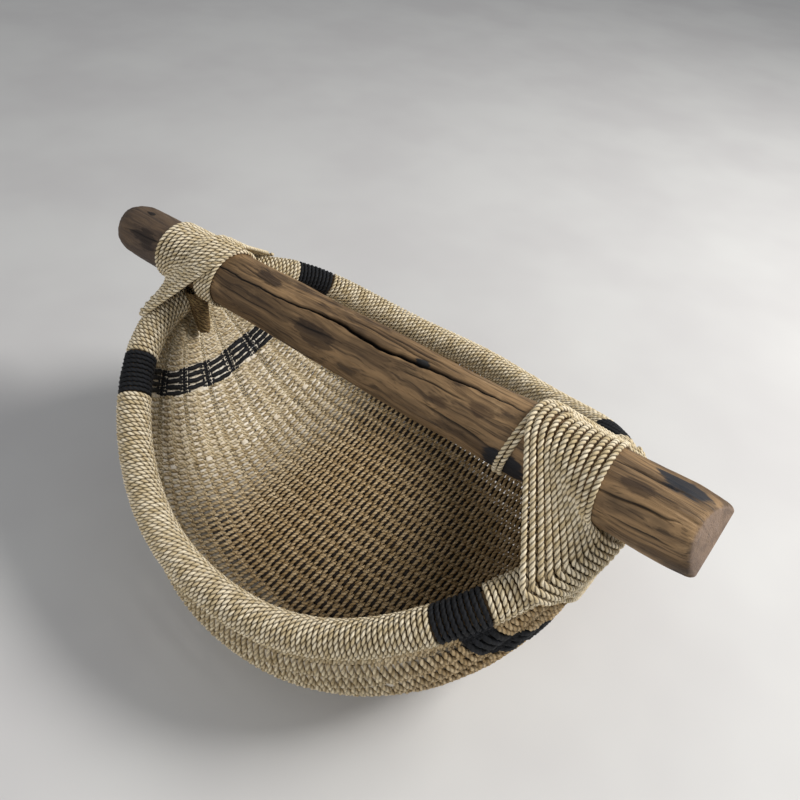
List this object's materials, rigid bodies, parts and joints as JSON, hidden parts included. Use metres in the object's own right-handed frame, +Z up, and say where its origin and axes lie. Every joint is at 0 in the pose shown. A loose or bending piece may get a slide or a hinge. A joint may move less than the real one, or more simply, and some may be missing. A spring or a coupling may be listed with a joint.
{
  "type": "woven basket with a driftwood bar handle",
  "caption": "Oval woven fibre bowl with a wrapped rim that rises at both ends, lashed with cord under a driftwood bar that is its handle.",
  "frame": {"origin": "on the floor under the middle of the overall bounding box", "axes": "+Z up, +X along the driftwood bar towards its sawn end, +Y towards the back rim"},
  "size_m": [0.6523, 0.4492, 0.2926],
  "materials": {
    "driftwood": "sea-worn driftwood, brown with grey and burnt patches",
    "cane": "plain cane rod, hidden under the wrapping",
    "splint": "pale flat splint, matt",
    "straw_cord": "two-ply straw-coloured fibre cord, matt",
    "straw_weave": "plain weave of straw-coloured fibre cord over splints",
    "dark_straw_cord": "darker fibre cord wound round rib ends",
    "black_cord": "two-ply black fibre cord, matt"
  },
  "bodies": {
    "root": {"driftwood_bar": "driftwood", "rim_hoop": "cane", "rim_wrap_front": "straw_cord", "rim_wrap_sawn_end": "straw_cord", "rim_wrap_back": "straw_cord", "rim_wrap_round_end": "straw_cord", "black_wrap_front_round_end": "black_cord", "black_wrap_front_sawn_end": "black_cord", "black_wrap_back_sawn_end": "black_cord", "black_wrap_back_round_end": "black_cord", "weave_round_end": "straw_weave", "weave_black_band_round_end": "black_cord", "weave_middle": "straw_weave", "weave_black_band_sawn_end": "black_cord", "weave_sawn_end": "straw_weave", "rib_bundle_round_end": "dark_straw_cord", "rib_bundle_sawn_end": "dark_straw_cord", "lashing_round_end": "straw_cord", "lashing_sawn_end": "straw_cord", "bar_turns_round_end": "straw_cord", "bar_turns_sawn_end": "straw_cord", "rib_01": "splint", "rib_02": "splint", "rib_03": "splint", "rib_04": "splint", "rib_05": "splint", "rib_06": "splint", "rib_07": "splint", "rib_08": "splint", "rib_09": "splint", "rib_10": "splint", "rib_11": "splint", "rib_12": "splint", "rib_13": "splint", "rib_14": "splint", "rib_15": "splint", "rib_16": "splint", "rib_17": "splint", "rib_18": "splint", "rib_19": "splint", "rib_20": "splint", "rib_21": "splint", "rib_22": "splint", "rib_23": "splint", "rib_24": "splint", "rib_25": "splint", "rib_26": "splint", "rib_27": "splint", "rib_28": "splint", "rib_29": "splint", "rib_30": "splint", "rib_31": "splint"}
  },
  "joints": []
}
